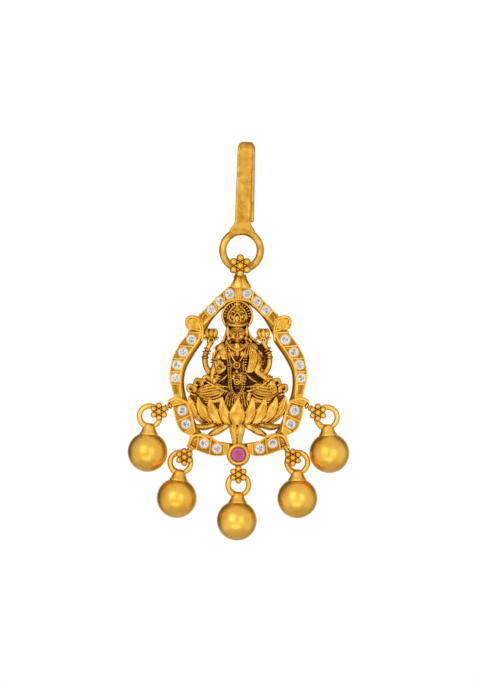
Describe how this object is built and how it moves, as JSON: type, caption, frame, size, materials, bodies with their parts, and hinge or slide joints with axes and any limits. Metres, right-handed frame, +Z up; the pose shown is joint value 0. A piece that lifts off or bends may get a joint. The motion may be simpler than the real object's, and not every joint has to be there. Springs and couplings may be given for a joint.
{
  "type": "maang tikka",
  "caption": "Gold forehead pendant on a strap hook: pear-shaped stone-set frame around a cast seated goddess on a lotus, with ball drops.",
  "frame": {"origin": "inside top of the hook's bend, where it hangs on the hair", "axes": "+Z up along the hanging piece, +X to the viewer's right, the front faces -Y"},
  "size_m": [0.031, 0.0056, 0.0559],
  "materials": {
    "gold": "satin to polished yellow gold",
    "antique_gold": "antiqued gold, bright on the high points and dark in the recesses",
    "white_stone": "clear white cut stone",
    "pink_stone": "pink cut stone"
  },
  "bodies": {
    "hook": {"hair_hook": "gold"},
    "pendant": {"pendant_frame": "gold", "goddess_figure": "antique_gold", "lotus_base": "antique_gold", "white_stone_01": "white_stone", "white_stone_02": "white_stone", "white_stone_03": "white_stone", "white_stone_04": "white_stone", "white_stone_05": "white_stone", "white_stone_06": "white_stone", "white_stone_07": "white_stone", "white_stone_08": "white_stone", "white_stone_09": "white_stone", "white_stone_10": "white_stone", "white_stone_11": "white_stone", "white_stone_12": "white_stone", "white_stone_13": "white_stone", "white_stone_14": "white_stone", "white_stone_15": "white_stone", "white_stone_16": "white_stone", "white_stone_17": "white_stone", "white_stone_18": "white_stone", "white_stone_19": "white_stone", "white_stone_20": "white_stone", "white_stone_21": "white_stone", "white_stone_22": "white_stone", "ruby_stone": "pink_stone", "ball_drop_1": "gold", "ball_drop_2": "gold", "ball_drop_3": "gold", "ball_drop_4": "gold", "ball_drop_5": "gold"}
  },
  "joints": [
    {"name": "pendant_swing", "type": "hinge", "parent": "hook", "child": "pendant", "pos_m": [-0.00101, -0.00088, -0.01717], "axis": [1, 0, 0], "range_deg": [-75, 75]}
  ]
}
